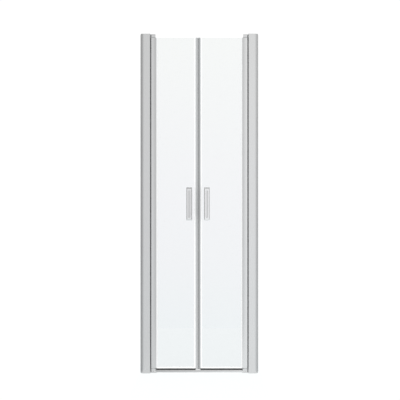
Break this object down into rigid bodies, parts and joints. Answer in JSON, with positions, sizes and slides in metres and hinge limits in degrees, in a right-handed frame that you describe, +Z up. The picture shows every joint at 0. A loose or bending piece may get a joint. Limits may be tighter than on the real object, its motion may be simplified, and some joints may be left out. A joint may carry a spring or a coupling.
{
  "type": "hinged shower door",
  "caption": "Swing door for a shower niche: paired glass leaves turn on pivots in wall columns, meet at a magnetic seal over a threshold bar, and have a fluted bow handle on each face.",
  "frame": {"origin": "on the shower tray, in the middle between the walls, in the middle plane of the glass", "axes": "+X to the right seen from outside the shower, +Y into the shower, +Z up"},
  "size_m": [0.697, 0.096, 2],
  "materials": {
    "aluminium_profile": "satin anodised extrusion",
    "cast_brackets": "silver, satin",
    "satin_handles": "satin, finely brushed",
    "stainless_steel": "turned",
    "silver_caps": "silver, smooth",
    "white_nylon": "smooth",
    "grey_rubber": "matt",
    "safety_glass": "clear, polished edges",
    "pale_gasket": "smooth",
    "grey_plugs": "moulded",
    "clear_vinyl": "clear, flexible",
    "dark_lip": "matt",
    "meeting_seal": "smooth, semi-opaque",
    "magnet_strip": "matt"
  },
  "bodies": {
    "frame": {"threshold_bar": "aluminium_profile", "threshold_strip": "clear_vinyl", "left_wall_profile": "aluminium_profile", "left_column": "aluminium_profile", "left_column_screws": "stainless_steel", "left_screw_covers": "silver_caps", "left_top_bracket": "cast_brackets", "left_bottom_bracket": "cast_brackets", "left_bracket_screws": "stainless_steel", "left_pivot_pins": "stainless_steel", "left_thrust_washer": "white_nylon", "left_gap_seal": "grey_rubber", "right_wall_profile": "aluminium_profile", "right_column": "aluminium_profile", "right_column_screws": "stainless_steel", "right_screw_covers": "silver_caps", "right_top_bracket": "cast_brackets", "right_bottom_bracket": "cast_brackets", "right_bracket_screws": "stainless_steel", "right_pivot_pins": "stainless_steel", "right_thrust_washer": "white_nylon", "right_gap_seal": "grey_rubber"},
    "left_leaf": {"left_leaf_profile": "aluminium_profile", "left_glass": "safety_glass", "left_glazing_gasket": "pale_gasket", "left_top_plug": "grey_plugs", "left_bottom_plug": "grey_plugs", "left_pivot_bushes": "white_nylon", "left_drip_clip": "clear_vinyl", "left_drip_lip": "dark_lip", "left_seal_clip": "clear_vinyl", "left_meeting_seal": "meeting_seal", "left_magnet": "magnet_strip", "left_outer_handle": "satin_handles", "left_inner_handle": "satin_handles", "left_handle_bushes": "white_nylon", "left_handle_studs": "stainless_steel"},
    "right_leaf": {"right_leaf_profile": "aluminium_profile", "right_glass": "safety_glass", "right_glazing_gasket": "pale_gasket", "right_top_plug": "grey_plugs", "right_bottom_plug": "grey_plugs", "right_pivot_bushes": "white_nylon", "right_drip_clip": "clear_vinyl", "right_drip_lip": "dark_lip", "right_seal_clip": "clear_vinyl", "right_meeting_seal": "meeting_seal", "right_magnet": "magnet_strip", "right_outer_handle": "satin_handles", "right_inner_handle": "satin_handles", "right_handle_bushes": "white_nylon", "right_handle_studs": "stainless_steel"}
  },
  "joints": [
    {"name": "left_swing", "type": "hinge", "parent": "frame", "child": "left_leaf", "pos_m": [-0.2705, 0, 0], "axis": [0, 0, 1], "range_deg": [-90, 90]},
    {"name": "right_swing", "type": "hinge", "parent": "frame", "child": "right_leaf", "pos_m": [0.2705, 0, 0], "axis": [0, 0, -1], "range_deg": [-90, 90]}
  ]
}
